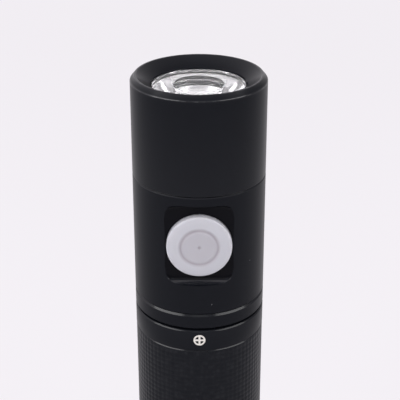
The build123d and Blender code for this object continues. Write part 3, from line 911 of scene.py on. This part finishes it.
@dataclass
class Head:
    """Bezel, housing, optic and their seals."""

    barrel: Barrel
    materials: Materials
    bore_r: float = 10.68
    optic_bore_r: float = 9.65
    aperture_r: float = 8.70
    rim_width: float = 0.79
    rim_height: float = 0.95
    rim_land: float = 0.28
    funnel_depth: float = 1.81
    lip_wall: float = 1.05
    trims: tuple[float, ...] = (0.03, 0.04, 0.04, 0.14, 0.10, 0.08, 0.08, 0.05, 0.05, 0.05, 0.05)
    step_above_foot: float = 5.35
    seam: float = 0.12
    rim_wear_reach: float = 0.13
    rim_line_reach: float = 0.2
    rim_gloss: float = 0.7
    optic_foot_r: float = 3.3
    optic_side_r: float = 8.2
    boss_r: float = 8.5
    flange_height: float = 0.8
    optic_edge: float = 0.04
    boss_edge: float = 0.10
    well_edge: float = 0.06
    well_r: Span = (4.6, 4.25)
    well_depth: float = 3.6
    well_dome: float = 0.9
    pit_r: Span = (2.75, 2.45)
    pit_depth: float = 4.2
    pit_dome: float = 0.9
    dome_steps: int = 14
    side_steps: int = 24
    optic_segments: int = 192
    optic_crease: float = 30.0
    pocket_floor: float = 10.62
    pocket_levels: Span = (80.3, 96.6)
    pocket_margin: float = 0.1
    pocket_gloss: float = 1.0
    pocket_facing: float = 0.5
    fillet_facing: float = 0.65
    line_gloss: float = 0.28
    line_band: Span = (0.02, 0.3)
    line_facing: float = 0.3

    def bezel(self) -> None:
        """The sleeve with its chamfered lip and funnel, as a turned outline with softened edges."""
        r, top = self.barrel.radius, self.barrel.nose
        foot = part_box("bezel")[0].z / MM
        crest = r - self.rim_width
        aperture = top - self.funnel_depth
        rim = [(r, top - self.rim_height), (crest, top), (crest - self.rim_land, top)]
        points = [
            (self.bore_r, foot),
            (r - self.seam, foot),
            (r, foot + self.seam),
            *rim,
            (self.aperture_r, aperture),
            (self.aperture_r, aperture - self.lip_wall),
            (self.optic_bore_r, aperture - self.lip_wall),
            (self.optic_bore_r, foot + self.step_above_foot),
            (self.bore_r, foot + self.step_above_foot),
        ]
        line, normal = softened(points, self.trims)
        made = lathed("bezel_shell", line, normal, self.barrel.segments, self.materials["turned"])
        write_mask(made, "edge", ring_nearness(made, rim, self.rim_wear_reach))
        foot_ring = (r - 0.5 * self.seam, foot + 0.5 * self.seam)
        write_mask(made, "line", self.rim_gloss * ring_nearness(made, [*rim, foot_ring], self.rim_line_reach))
        settle(made, Body.HEAD, "bezel")

    def housing(self) -> None:
        """The switch housing, as a smooth copy of its solid with its pocket's faces marked.

        A face counts as the pocket's where its middle is a margin inside the barrel's surface, in front
        of the pocket floor's plane and within the pocket's height. The turned V, the chamfers and the
        pocket's lower fillet, whose faces look upward, are marked as smooth-cut lines. The pocket's other
        faces are marked for painted shade, a darker colour in the recess.
        """
        r = self.barrel.radius
        made = smoothed_copy("housing_shell", "switch_housing", self.materials["pocketed"], r)
        middle = read(made.data.polygons, "center") / MM
        upward = read(made.data.polygons, "normal")[:, 2]
        inward = r - np.hypot(middle[:, 0], middle[:, 1])
        low, high = self.pocket_levels
        pocket = (inward > self.pocket_margin) & (middle[:, 1] < self.pocket_margin - self.pocket_floor)
        pocket &= (middle[:, 2] > low) & (middle[:, 2] < high)
        skin = (inward > self.line_band[0]) & (inward < self.line_band[1]) & ~pocket
        cut = self.line_gloss * (skin & (upward > self.line_facing))
        fillet = self.pocket_gloss * (pocket & (upward > self.fillet_facing))
        write_mask(made, "line", cut + fillet, "FACE")
        # Painted shade: the pocket's walls and floor, but not its upward faces, darken to the pocket shade
        # colour
        write_mask(made, "pocket", pocket & (upward < self.pocket_facing), "FACE")
        settle(made, Body.HEAD, "switch_housing")

    def optic(self) -> None:
        """The collimator: a parabola r^2 = a + k h for its side, with domed floors in its well and pit.

        A dome's height falls from its apex as d (r / R)^2 towards the dome's edge.
        """
        low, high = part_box("tir_optic")
        foot, front, flange_r = low.z / MM, high.z / MM, high.x / MM
        flange_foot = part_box("optic_holder")[1].z / MM
        flange_top = flange_foot + self.flange_height
        share = np.linspace(0, 1, self.side_steps)
        side_r2 = self.optic_foot_r**2 + (self.optic_side_r**2 - self.optic_foot_r**2) * share
        side = np.stack([np.sqrt(side_r2), foot + (flange_foot - foot) * share], -1)
        across = np.linspace(1, 0, self.dome_steps)
        pit_top, well_floor = foot + self.pit_depth, front - self.well_depth
        pit = np.stack([self.pit_r[1] * across, pit_top - self.pit_dome * (1 - across**2)], -1)
        well = np.stack([self.well_r[1] * across, well_floor + self.well_dome * (1 - across**2)], -1)
        e, boss_e, well_e = self.optic_edge, self.boss_edge, self.well_edge
        line = np.concatenate([
            pit[::-1],
            [(self.pit_r[0], foot + 0.5 * e), (self.pit_r[0] + 0.75 * e, foot)],
            [(self.optic_foot_r - 0.75 * e, foot)],
            side,
            [(flange_r - e, flange_foot), (flange_r, flange_foot + e)],
            [(flange_r, flange_top - e), (flange_r - e, flange_top)],
            [(self.boss_r, flange_top), (self.boss_r, front - boss_e), (self.boss_r - boss_e, front)],
            [(self.well_r[0] + well_e, front), (self.well_r[0], front - well_e)],
            well,
        ])
        made = lathed("optic_lens", line, None, self.optic_segments, self.materials["optic"])
        close_poles(made, self.optic_crease)
        settle(made, Body.HEAD, "tir_optic")

    def build(self) -> None:
        """Builds the head's pieces."""
        self.bezel()
        self.housing()
        self.optic()
        dome = smoothed_copy("led_dome_lens", "led_dome", self.materials["dome"], self.barrel.radius)
        settle(dome, Body.HEAD, "led_dome")
        rings = {"lens_seal_ring": "lens_seal", "bezel_seal_ring": "bezel_o_ring"}
        settle_seals(rings, Body.HEAD, self.materials["seal"])


@dataclass
class SideButton:
    """The push button: a soft round cap with a fine ring and a centre dimple."""

    materials: Materials
    radius: float = 5.92
    face_r: float = 3.7
    rim_width: float = 0.9
    side_height: float = 1.08
    cavity_r: float = 4.6
    cavity_edge: float = 0.2
    foot_edge: float = 0.05
    wall: float = 1.0
    nub_r: float = 1.5
    nub_height: float = 0.35
    ring_r: float = 3.37
    ring_width: float = 0.56
    ring_depth: float = 0.10
    dimple_r: float = 0.34
    dimple_depth: float = 0.10
    # painted shade of the disc inside the ring, and the width over which it fades in
    painted_disc_shade: float = 0.4
    disc_edge: float = 0.2
    pocket_floor: float = 10.62
    face_steps: int = 70
    rim_steps: int = 22
    segments: int = 192
    crease: float = 50.0

    def build(self) -> None:
        """Builds the cap.

        From the face's edge to the cap's side the height falls as a quarter ellipse, and the ring and
        the dimple are cosine dips. The outline is carried round the button's own axis.
        """
        low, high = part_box("switch_button")
        crown, foot = -low.y / MM, -high.y / MM
        level = 0.5 * (low.z + high.z) / MM
        side_top = self.pocket_floor + self.side_height
        rim = self.radius - self.rim_width * np.linspace(1, 0, self.rim_steps) ** 2
        r = np.concatenate([np.linspace(0, self.radius - self.rim_width, self.face_steps), rim])
        fall = np.clip((r - self.face_r) / (self.radius - self.face_r), 0, 1)
        ring = np.clip(1 - np.abs(r - self.ring_r) / self.ring_width, 0, 1)
        dimple = np.clip(1.5 - r / self.dimple_r, 0, 1)
        top = side_top + (crown - side_top) * np.sqrt(np.clip(1 - fall**2, 0, 1))
        for depth, dip in ((self.ring_depth, ring), (self.dimple_depth, dimple)):
            top = top - depth * (0.5 - 0.5 * np.cos(np.pi * dip))
        ceiling, e, hollow_e = crown - self.wall, self.foot_edge, self.cavity_edge
        under = [
            (self.radius, foot + e), (self.radius - e, foot),
            (self.cavity_r + e, foot), (self.cavity_r, foot + e),
            (self.cavity_r, ceiling - hollow_e), (self.cavity_r - hollow_e, ceiling),
            (self.nub_r, ceiling), (self.nub_r, ceiling - self.nub_height), (0.0, ceiling - self.nub_height),
        ]
        line = np.concatenate([np.stack([r, top], -1), under])
        # Painted shade: the ring groove, the dimple and the disc inside the ring darken through this cap's
        # edge mask
        inner = self.painted_disc_shade * np.clip((self.ring_r - r) / self.disc_edge, 0, 1)
        edge = np.concatenate([np.maximum(np.maximum(ring, inner), dimple), np.zeros(len(under))])
        x, y, out = carried(line, self.segments).T
        points = np.stack([x, -out, level + y], -1)
        faces = grid_faces(len(line), self.segments, False, True)
        made = made_mesh("button_cap", points, faces, None, self.materials["silicone"])
        write_mask(made, "edge", np.repeat(edge, self.segments))
        close_poles(made, self.crease)
        settle(made, Body.BUTTON, "switch_button")


@dataclass
class Tube:
    """The battery tube with its checkered grip, screw threads, seals and polarity mark."""

    barrel: Barrel
    materials: Materials
    bore_r: float = 9.5
    neck_r: float = 10.8
    band: float = 4.48
    pad_depth: float = 0.03
    line_width: float = 0.34
    line_depth: float = 0.16
    line_lip: Span = (0.01, 0.04)
    line_foot: float = 0.03
    line_gloss: float = 0.5
    line_reach: float = 0.24
    edge: float = 0.22
    chamfer: float = 0.02
    run_in: float = 0.05
    shoulder_low: float = 16.35
    shoulder_high: float = 70.95
    groove_offset: float = 1.6
    groove_width: float = 1.3
    groove_depth: float = 0.75
    cells_round: int = 78
    cell_phases: tuple[float, ...] = (0.0, 0.14, 0.5, 0.86)
    groove_cut: float = 0.045
    groove_gloss: float = 0.1
    groove_share: float = 0.14
    pad_crown: float = 0.12
    pad_wear: float = 0.12
    thread_pitch: float = 1.0
    thread_depth: float = 0.42
    thread_samples: int = 6
    thread_margin: float = 0.4
    thread_flank: float = 1.25
    crease: float = 40.0
    mark_height: float = 69.03
    mark_r: float = 1.12
    mark_lift: float = 0.006
    mark_cells: int = 60
    mark_ring: float = 0.72
    mark_arm: Span = (0.17, 0.8)

    def end_rows(self, shoulder: float, way: int) -> list[Point]:
        """The outline from a seal's groove, over a shoulder and a smooth band, to the grip's edge.

        Args:
            shoulder: the height of the step between the neck and the barrel.
            way: 1 for the lower end, -1 for the upper one, whose rows are the mirror image.

        Returns:
            (radius, height) of each row.
        """
        r, neck, half, e = self.barrel.radius, self.neck_r, self.groove_width / 2, self.edge
        deep, ring = neck - self.groove_depth, shoulder - way * self.groove_offset
        grip, wide, soft = shoulder + way * self.band, self.line_width, self.chamfer
        in_lip, above_lip = self.line_lip
        return [
            (neck, ring - way * half), (deep, ring - way * (half - soft)),
            (deep, ring + way * (half - soft)), (neck, ring + way * half),
            (neck, shoulder), (r - e, shoulder),
            (r - soft, shoulder + way * (e - soft)), (r, shoulder + way * (e + self.run_in)),
            (r, grip - way * (wide + above_lip)), (r - in_lip, grip - way * wide),
            (r - self.line_depth, grip - way * 0.5 * wide),
            (r - self.pad_depth - soft, grip - way * self.line_foot),
        ]

    def rows(self) -> tuple[Array, Array, Array]:
        """The tube's outline from its lower bore edge, up its outside and down its bore.

        Returns:
            (radius, height) of each row, a mask of the rows on the grip and one of the rows on a thread.
        """
        low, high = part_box("battery_tube")
        foot, top = low.z / MM, high.z / MM
        neck, e = self.neck_r, self.edge
        grip = (self.shoulder_low + self.band, self.shoulder_high - self.band)
        count = round((grip[1] - grip[0]) / (2 * math.pi * self.barrel.radius / self.cells_round))
        cells = np.append((np.arange(count)[:, None] + np.array(self.cell_phases)).ravel(), count)
        knurl = cells * (grip[1] - grip[0]) / count + grip[0]
        step = self.thread_pitch / self.thread_samples
        clear = self.groove_offset + self.groove_width / 2 + self.thread_margin

        def straight(radius: float, heights: Array) -> Array:
            """Rows at one radius."""
            return np.stack([np.full(len(heights), radius), heights], -1)

        parts = [
            ([(self.bore_r, foot), (neck - e, foot)], 0, 0),
            (straight(neck, np.arange(foot + e, self.shoulder_low - clear, step)), 0, 1),
            (self.end_rows(self.shoulder_low, 1), 0, 0),
            (straight(self.barrel.radius - self.pad_depth, knurl), 1, 0),
            (self.end_rows(self.shoulder_high, -1)[::-1], 0, 0),
            (straight(neck, np.arange(self.shoulder_high + clear, top - e, step)), 0, 1),
            ([(neck - e, top), (self.bore_r, top)], 0, 0),
        ]
        line = np.concatenate([np.array(part[0], float) for part in parts])
        masks = (np.concatenate([np.full(len(part[0]), part[k], float) for part in parts]) for k in (1, 2))
        return line, *masks

    def groove(self, phase: Array) -> Array:
        """1 in a groove's bottom, pad_crown at a pad's edge and 0 at its middle.

        Args:
            phase: the place in cells, whole at each groove's bottom.

        Returns:
            The share of the cut at each place.
        """
        away = np.abs(phase - np.round(phase))
        slope = np.clip(1 - away / self.groove_share, 0, 1)
        crown = np.clip((0.5 - away) / (0.5 - self.groove_share), 0, 1) ** 2
        return np.maximum(slope, self.pad_crown * crown)

    def shell(self) -> None:
        """The tube as one grid of heights over its turned outline.

        On the grip, each direction has a groove g wherever its phase is near a whole number, with low
        crowned pads between, and the radius loses 1 - (1 - g)(1 - h). On a neck, the radius
        loses a triangle wave of z / pitch - t / 2 pi, which is a helix.
        """
        line, on_grip, on_thread = self.rows()
        round_phase = (np.arange(self.cells_round)[:, None] + np.array(self.cell_phases)).ravel()[None, :]
        t = round_phase / self.cells_round * 2 * np.pi - np.pi / 2
        z = line[:, 1][:, None]
        grip = z[on_grip > 0]
        rows_phase = np.zeros_like(z)
        count = (len(grip) - 1) // len(self.cell_phases)
        rows_phase[on_grip > 0] = (grip - grip.min()) / (grip.max() - grip.min()) * count
        kept = (1 - self.groove(rows_phase)) * (1 - self.groove(round_phase))
        cut = self.groove_cut * (1 - kept) * on_grip[:, None]
        wave = z / self.thread_pitch - t / (2 * np.pi)
        tooth = 2 * np.abs(wave - np.floor(wave) - 0.5)
        cut = cut + self.thread_depth * np.clip(self.thread_flank * tooth, 0, 1) * on_thread[:, None]
        r = line[:, :1] - cut
        points = np.stack([r * np.cos(t), r * np.sin(t), np.broadcast_to(z, r.shape)], -1).reshape(-1, 3)
        faces = grid_faces(len(line), round_phase.size, True, True)
        made = made_mesh("grip_tube", points, faces, None, self.materials["turned"])
        pads = np.clip(1 - cut / (0.5 * self.groove_cut), 0, 1) * on_grip[:, None]
        write_mask(made, "edge", self.pad_wear * pads)
        barrel, e, top = self.barrel.radius, self.edge, self.shoulder_high
        grip_line = (barrel - 0.5 * self.line_depth, top - self.band + 0.25 * self.line_width)
        rings = ring_nearness(made, [(barrel - 0.5 * e, top - 0.5 * e), grip_line], self.line_reach)
        slopes = self.groove_gloss * np.clip(cut / self.groove_cut, 0, 1) * on_grip[:, None]
        write_mask(made, "line", np.maximum(self.line_gloss * rings, slopes.ravel()))
        made.data.set_sharp_from_angle(angle=math.radians(self.crease))
        settle(made, Body.TUBE, "battery_tube")

    def mark(self) -> None:
        """A printed ring with a cross in it, laid on the barrel.

        A flat mask over a square grid keeps the cells whose distance from the centre lies in the ring,
        or that lie in the cross's arms, and each flat point (a, b) goes to the angle a / R and height b.
        """
        count = self.mark_cells + 1
        span = np.linspace(-self.mark_r, self.mark_r, count)
        a, b = np.meshgrid(span, span)
        middle_a, middle_b = (0.5 * (grid[1:, 1:] + grid[:-1, :-1]) / self.mark_r for grid in (a, b))
        away = np.hypot(middle_a, middle_b)
        ring = (away < 1) & (away > self.mark_ring)
        arms = (np.minimum(np.abs(middle_a), np.abs(middle_b)) < self.mark_arm[0]) & (away < self.mark_arm[1])
        faces = grid_faces(count, count, False, False)[(ring | arms).ravel()]
        r = self.barrel.radius + self.mark_lift
        points = np.stack([r * np.sin(a / r), -r * np.cos(a / r), self.mark_height + b], -1).reshape(-1, 3)
        used, numbers = np.unique(faces, return_inverse=True)
        made = made_mesh("polarity_mark", points[used], numbers.reshape(-1, 4), None, self.materials["print"])
        settle(made, Body.TUBE)

    def build(self) -> None:
        """Builds the tube's pieces."""
        self.shell()
        self.mark()
        rings = {"head_seal_ring": "head_o_ring", "tail_seal_ring": "tail_o_ring"}
        settle_seals(rings, Body.TUBE, self.materials["seal"])


@dataclass
class Tail:
    """The tail cap and its spring."""

    barrel: Barrel
    materials: Materials
    wire_r: float = 0.4
    wire_sides: int = 12
    turns: int = 3
    steps_a_turn: int = 48
    taper: float = 2.2
    crease: float = 60.0

    def spring(self) -> None:
        """The coil spring: a round wire along a conical helix.

        The wire's middle is at radius f - t s and height z s for the turn share s, and its section
        is a circle spanned by the outward direction and the direction square to both that and the path.
        """
        low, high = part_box("tail_spring")
        start, end = low.z / MM + self.wire_r, high.z / MM - self.wire_r
        s = np.linspace(0, 1, self.steps_a_turn * self.turns + 1)[:, None]
        angle = 2 * np.pi * self.turns * s
        ring = high.x / MM - self.wire_r - self.taper * s
        centre = np.concatenate([ring * np.cos(angle), ring * np.sin(angle), start + (end - start) * s], 1)
        along = np.gradient(centre, axis=0)
        along /= np.linalg.norm(along, axis=1)[:, None]
        outward = np.concatenate([np.cos(angle), np.sin(angle), np.zeros_like(angle)], 1)
        upward = np.cross(outward, along)
        upward /= np.linalg.norm(upward, axis=1)[:, None]
        outward = np.cross(along, upward)
        u = np.linspace(0, 2 * np.pi, self.wire_sides, endpoint=False)[None, :, None]
        skin = centre[:, None] + self.wire_r * (np.cos(u) * outward[:, None] + np.sin(u) * upward[:, None])
        tips = np.stack([np.broadcast_to(centre[k], (self.wire_sides, 3)) for k in (0, -1)])
        points = np.concatenate([tips[:1], skin, tips[1:]]).reshape(-1, 3)
        faces = grid_faces(len(s) + 2, self.wire_sides, False, True)
        made = made_mesh("contact_spring", points, faces, None, self.materials["gold"])
        close_poles(made, self.crease)
        settle(made, Body.TAIL, "tail_spring")

    def build(self) -> None:
        """Builds the tail's pieces, the cap as a smooth copy of its solid."""
        cap = smoothed_copy("tail_shell", "tail_cap", self.materials["anodised"], self.barrel.radius)
        settle(cap, Body.TAIL, "tail_cap")
        self.spring()


# Studio


@dataclass(frozen=True)
class Softbox:
    """A rectangular soft light: where it stands and its size in metres, and its power in watts."""

    name: str
    place: Place
    size: tuple[float, float]
    power: float


@dataclass
class Studio:
    """Floor, light and camera of a plain product photograph.

    The world is dim where the photographer stands and pale all round. Two wide softboxes stand at the
    front corners, and a weaker one above the photographer.
    """

    pale: Colour = (0.966, 0.930, 0.975)
    round_level: float = 0.88
    front_level: float = 0.12
    front_edge: Span = (0.15, 0.9)
    overhead_level: float = 0.9
    overhead_edge: Span = (0.74, 0.86)
    left_lean: float = 0.5
    through_levels: Span = (2.8, 9.0)
    through_edge: Span = (0.3, 0.85)
    fill_colour: Colour = (0.95, 0.96, 1.0)
    fill_level: float = 0.28
    floor_half: float = 3.0
    floor_colour: Colour = (0.82, 0.81, 0.83)
    floor_roughness: float = 0.9
    floor_specular: float = 0.1
    floor_glow: float = 0.975
    floor_share: float = 0.86
    floor_mirrored: float = 0.72
    floor_edge: Span = (0.3, 1.2)
    aim: Place = (0.0, 0.0, 0.09)
    softboxes: tuple[Softbox, ...] = (
        Softbox("left softbox", (-0.54, -0.31, 0.46), (0.62, 0.36), 4.2),
        Softbox("right softbox", (0.54, -0.31, 0.46), (0.62, 0.34), 3.5),
        Softbox("front softbox", (0.0, -0.95, 0.62), (0.5, 0.4), 1.0),
    )
    camera_place: Place = (0.0, -0.18755, 0.17940)
    pitch: float = 24.957
    yaw: float = 0.0497
    roll: float = -0.1141
    lens: float = 99.23
    sensor: float = 36.0
    clip: Span = (0.01, 20.0)

    def tint(self, level: float) -> Colour:
        """The studio's pale colour at a level."""
        return tuple(level * c for c in self.pale)

    def seen_rays(self, web: Web) -> Socket:
        """1 for camera, glossy and transmission rays, else 0.

        Args:
            web: the web of the floor or of the world.

        Returns:
            The value's socket.
        """
        rays = web.node("LightPath").outputs
        seen = web.math("MAXIMUM", rays["Is Camera Ray"], rays["Is Glossy Ray"])
        return web.math("MAXIMUM", seen, rays["Is Transmission Ray"])

    def floor(self) -> None:
        """A wide plain floor whose own colour shows, with the object's shadow still on it.

        Its glow's level and share rise with the distance from the object, which hides the horizon.
        """
        half = self.floor_half
        mesh = bpy.data.meshes.new("floor")
        corners = [(-half, -half, 0), (half, -half, 0), (half, half, 0), (-half, half, 0)]
        mesh.from_pydata(corners, [], [(0, 1, 2, 3)])
        made = new_material("pale floor")
        web = Web(made.node_tree)
        shader = found(web.tree, "BSDF_PRINCIPLED")
        shader.inputs["Base Color"].default_value = (*self.floor_colour, 1.0)
        shader.inputs["Roughness"].default_value = self.floor_roughness
        shader.inputs["Specular IOR Level"].default_value = self.floor_specular
        place = web.node("TexCoord").outputs["Object"]
        away = web.node("VectorMath", {0: place}, operation="LENGTH").outputs["Value"]
        far = web.ramp(away, *self.floor_edge)
        glossy = web.node("LightPath").outputs["Is Glossy Ray"]
        mirrored = web.math("MULTIPLY_ADD", glossy, self.floor_mirrored - 1.0, 1.0)
        direct = web.math("MULTIPLY_ADD", far, 1.0 - self.floor_glow, self.floor_glow)
        values = {"Color": (*self.pale, 1.0), "Strength": web.math("MULTIPLY", direct, mirrored)}
        glow = web.node("Emission", values).outputs[0]
        share = web.math("MULTIPLY_ADD", far, 1.0 - self.floor_share, self.floor_share)
        share = web.math("MULTIPLY", self.seen_rays(web), share)
        web.blend(share, shader.outputs[0], glow, "OUTPUT_MATERIAL")
        mesh.materials.append(made)
        plane = placed("floor", mesh)

    def world(self) -> None:
        """Pale all round, dim where the photographer stands, with a soft fill for matt surfaces.

        Rays that leave through clear plastic see a brighter surround, most of all at the sides.
        """
        made = bpy.data.worlds.new("studio")
        made.use_nodes = True
        bpy.context.scene.world = made
        web = Web(made.node_tree)
        background = found(web.tree, "BACKGROUND")
        way = web.node("SeparateXYZ", {0: web.node("TexCoord").outputs["Generated"]}).outputs
        front = web.ramp(web.math("MULTIPLY", way["Y"], -1.0), *self.front_edge)
        above = web.ramp(way["Z"], *self.overhead_edge)
        aside = web.ramp(web.math("ABSOLUTE", way["X"]), *self.through_edge)
        lean = web.math("MULTIPLY_ADD", way["X"], -self.left_lean, 1.0)
        plain = web.mix(front, self.tint(self.round_level), self.tint(self.front_level))
        plain = web.scaled(web.mix(above, plain, self.tint(self.overhead_level)), lean)
        through = web.mix(aside, *(self.tint(level) for level in self.through_levels))
        rays = web.node("LightPath").outputs
        shown = web.mix(rays["Is Transmission Ray"], plain, through)
        web.join(web.mix(rays["Is Camera Ray"], shown, self.pale), background.inputs["Color"])
        values = {"Color": (*self.fill_colour, 1.0), "Strength": self.fill_level}
        fill = web.node("Background", values).outputs[0]
        web.blend(self.seen_rays(web), fill, background.outputs[0], "OUTPUT_WORLD")

    def lights(self) -> None:
        """Places the softboxes, each turned to face the light's middle."""
        for box in self.softboxes:
            lamp = bpy.data.lights.new(box.name, "AREA")
            lamp.shape = "RECTANGLE"
            lamp.size, lamp.size_y = box.size
            lamp.energy = box.power
            made = placed(box.name, lamp)
            made.location = box.place
            made.rotation_mode = "QUATERNION"
            made.rotation_quaternion = (Vector(self.aim) - Vector(box.place)).to_track_quat("-Z", "Y")

    def camera(self) -> None:
        """The camera that the photograph's edges give.

        Its forward is (sin y cos p, cos y cos p, -sin p) for yaw y and pitch p, and the roll turns it
        about that.
        """
        pitch, yaw, roll = (math.radians(a) for a in (self.pitch, self.yaw, self.roll))
        forward = Vector((math.sin(yaw) * math.cos(pitch), math.cos(yaw) * math.cos(pitch), -math.sin(pitch)))
        right = Vector((math.cos(yaw), -math.sin(yaw), 0.0))
        up = right.cross(forward)
        across = right * math.cos(roll) + up * math.sin(roll)
        upright = up * math.cos(roll) - right * math.sin(roll)
        turn = Matrix((across, upright, -forward)).transposed()
        data = bpy.data.cameras.new("camera")
        data.lens, data.sensor_width = self.lens, self.sensor
        data.clip_start, data.clip_end = self.clip
        made = placed("camera", data)
        made.matrix_world = Matrix.Translation(self.camera_place) @ turn.to_4x4()
        bpy.context.scene.camera = made

    def build(self) -> None:
        """Sets the stage."""
        self.camera()
        self.floor()
        self.world()
        self.lights()
        bpy.context.scene.view_settings.view_transform = "Standard"


def dress_inner(materials: Materials) -> None:
    """Gives each remaining CAD node its finish.

    Args:
        materials: the built materials by name.
    """
    for finish, nodes in INNER_NODES.items():
        for node in nodes:
            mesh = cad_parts[node].data
            mesh.materials.clear()
            mesh.materials.append(materials[finish])
            LOG.info("%s is dressed in %s", node, finish)


def main() -> None:
    """Builds every sub-assembly in order."""
    logging.basicConfig(level=logging.INFO, format="%(name)s: %(message)s")
    effects = Effects()
    materials = {name: finish.build(effects) for name, finish in FINISHES.items()}
    barrel = Barrel()
    Head(barrel, materials).build()
    SideButton(materials).build()
    Tube(barrel, materials).build()
    Tail(barrel, materials).build()
    dress_inner(materials)
    Studio().build()


if __name__ == "__main__":
    main()
